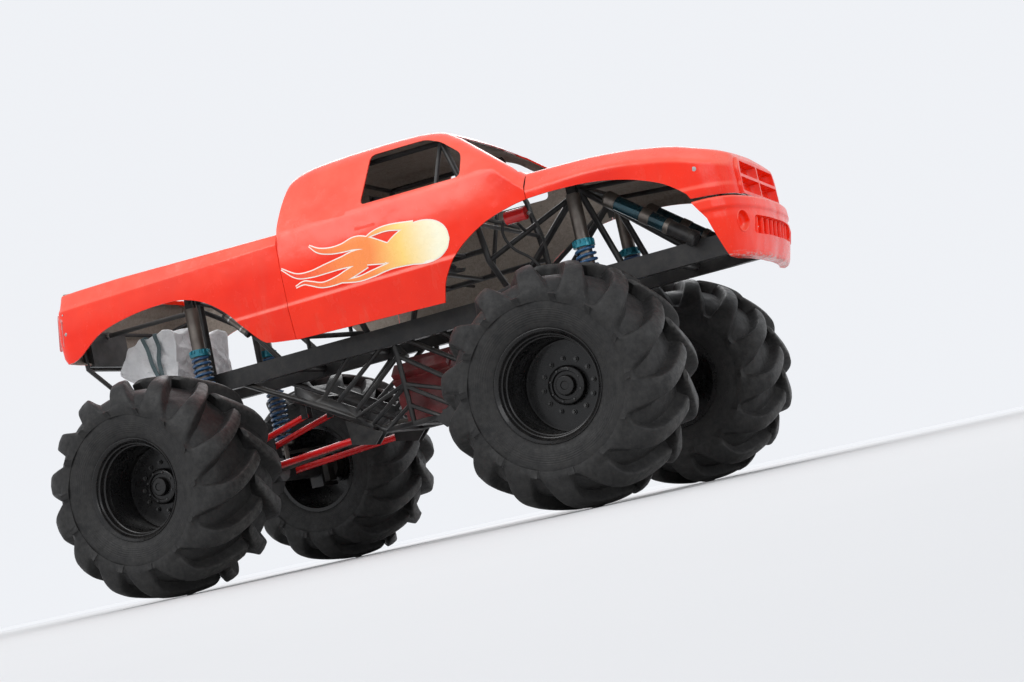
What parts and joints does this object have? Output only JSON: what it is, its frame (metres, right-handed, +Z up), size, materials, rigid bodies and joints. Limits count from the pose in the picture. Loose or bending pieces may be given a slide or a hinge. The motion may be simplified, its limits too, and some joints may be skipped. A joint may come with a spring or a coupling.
{
  "type": "monster truck",
  "caption": "Monster truck with a hollow fibreglass pickup shell on a tube and rail frame, huge lugged tyres, long shock absorbers, four-wheel steering.",
  "frame": {"origin": "centre of the truck's bounding box, on the ground", "axes": "+X towards the front bumper, +Y to the truck's left, +Z up"},
  "size_m": [5.85, 3.5374, 3.0404],
  "materials": {
    "black_paint": "satin",
    "red_body": "gloss",
    "engine_red": "satin",
    "link_red": "gloss",
    "dark_steel": "rough",
    "bright_steel": "brushed",
    "shock_grey": "satin",
    "teal": "gloss",
    "spring_blue": "gloss",
    "seat_black": "matte",
    "dark_alu": "satin",
    "tarp_silver": "satin",
    "hose_black": "matte",
    "tyre": "matte",
    "rim_black": "satin"
  },
  "bodies": {
    "chassis": {"frame_rails": "black_paint", "belly_cage": "black_paint", "tower_front": "black_paint", "tower_rear": "black_paint", "roll_cage": "black_paint", "cab_shell": "red_body", "front_clip": "red_body", "bed_shell": "red_body", "bumper": "red_body", "engine": "engine_red", "driveline": "dark_steel", "links": "link_red", "shock_tubes": "shock_grey", "shock_collars": "teal", "springs": "spring_blue", "reservoirs": "teal", "seat": "seat_black", "steering_wheel": "seat_black", "radiator": "dark_alu", "tarp": "tarp_silver", "tow_eyes": "black_paint", "shell_mounts": "black_paint", "accumulator": "link_red", "hoses": "hose_black", "axle_front": "black_paint", "axle_rear": "black_paint", "ram_front": "dark_steel", "ram_rear": "dark_steel"},
    "knuckle_front_left": {"knuckle_front_left": "dark_steel"},
    "wheel_front_left": {"tyre_front_left": "tyre", "rim_front_left": "rim_black"},
    "knuckle_front_right": {"knuckle_front_right": "dark_steel"},
    "wheel_front_right": {"tyre_front_right": "tyre", "rim_front_right": "rim_black"},
    "ram_rod_front": {"steer_rod_front": "bright_steel"},
    "knuckle_rear_left": {"knuckle_rear_left": "dark_steel"},
    "wheel_rear_left": {"tyre_rear_left": "tyre", "rim_rear_left": "rim_black"},
    "knuckle_rear_right": {"knuckle_rear_right": "dark_steel"},
    "wheel_rear_right": {"tyre_rear_right": "tyre", "rim_rear_right": "rim_black"},
    "ram_rod_rear": {"steer_rod_rear": "bright_steel"}
  },
  "joints": [
    {"name": "steer_front_left", "type": "hinge", "parent": "chassis", "child": "knuckle_front_left", "pos_m": [1.585, 1.06, 0.836], "axis": [0, 0, 1], "range_deg": [-25, 25]},
    {"name": "roll_front_left", "type": "hinge", "parent": "knuckle_front_left", "child": "wheel_front_left", "pos_m": [1.585, 1.286, 0.836], "axis": [0, 1, 0], "continuous": true},
    {"name": "steer_front_right", "type": "hinge", "parent": "chassis", "child": "knuckle_front_right", "pos_m": [1.585, -1.06, 0.836], "axis": [0, 0, 1], "range_deg": [-25, 25]},
    {"name": "roll_front_right", "type": "hinge", "parent": "knuckle_front_right", "child": "wheel_front_right", "pos_m": [1.585, -1.286, 0.836], "axis": [0, 1, 0], "continuous": true},
    {"name": "ram_front", "type": "slide", "parent": "chassis", "child": "ram_rod_front", "axis": [0, 1, 0], "range_m": [-0.09, 0.09]},
    {"name": "steer_rear_left", "type": "hinge", "parent": "chassis", "child": "knuckle_rear_left", "pos_m": [-1.775, 1.06, 0.836], "axis": [0, 0, 1], "range_deg": [-25, 25]},
    {"name": "roll_rear_left", "type": "hinge", "parent": "knuckle_rear_left", "child": "wheel_rear_left", "pos_m": [-1.775, 1.286, 0.836], "axis": [0, 1, 0], "continuous": true},
    {"name": "steer_rear_right", "type": "hinge", "parent": "chassis", "child": "knuckle_rear_right", "pos_m": [-1.775, -1.06, 0.836], "axis": [0, 0, 1], "range_deg": [-25, 25]},
    {"name": "roll_rear_right", "type": "hinge", "parent": "knuckle_rear_right", "child": "wheel_rear_right", "pos_m": [-1.775, -1.286, 0.836], "axis": [0, 1, 0], "continuous": true},
    {"name": "ram_rear", "type": "slide", "parent": "chassis", "child": "ram_rod_rear", "axis": [0, 1, 0], "range_m": [-0.09, 0.09]}
  ],
  "couplings": [
    {"joint": "steer_front_right", "follows": "steer_front_left", "ratio": 1},
    {"joint": "ram_front", "follows": "steer_front_left", "m_per_rad": 0.2},
    {"joint": "steer_rear_right", "follows": "steer_rear_left", "ratio": 1},
    {"joint": "ram_rear", "follows": "steer_rear_left", "m_per_rad": -0.2}
  ]
}
